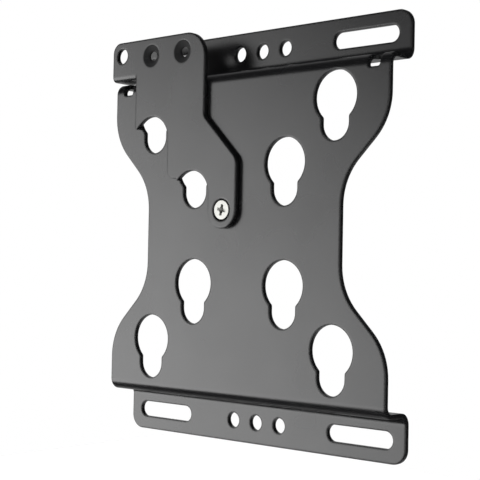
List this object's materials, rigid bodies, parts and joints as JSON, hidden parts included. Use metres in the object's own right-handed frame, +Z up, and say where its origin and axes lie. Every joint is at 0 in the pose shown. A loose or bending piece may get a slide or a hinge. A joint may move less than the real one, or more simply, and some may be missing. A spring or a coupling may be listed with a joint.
{
  "type": "fixed screen wall bracket",
  "caption": "Folded steel wall bracket with keyholes for a flat screen's studs and a pivoting latch plate that locks them in, held to the wall through its upper and lower flanges.",
  "frame": {"origin": "centre of the wall slot pattern, on the wall plane", "axes": "+Y points into the wall, -Y towards the viewer, +Z up, +X to the viewer's right"},
  "size_m": [0.152, 0.0188, 0.177],
  "materials": {
    "black_powder_coat": "smooth satin black powder coat on steel sheet",
    "zinc_plated_steel": "turned, zinc plated",
    "bright_zinc": "bright zinc plated"
  },
  "bodies": {
    "frame": {"wall_plate": "black_powder_coat", "pivot_bush": "zinc_plated_steel", "pivot_screw": "bright_zinc"},
    "latch": {"latch_plate": "black_powder_coat"}
  },
  "joints": [
    {"name": "latch_swing", "type": "hinge", "parent": "frame", "child": "latch", "pos_m": [-0.00702, -0.017, 0.0107], "axis": [0, 1, 0], "range_deg": [0, 80]}
  ]
}
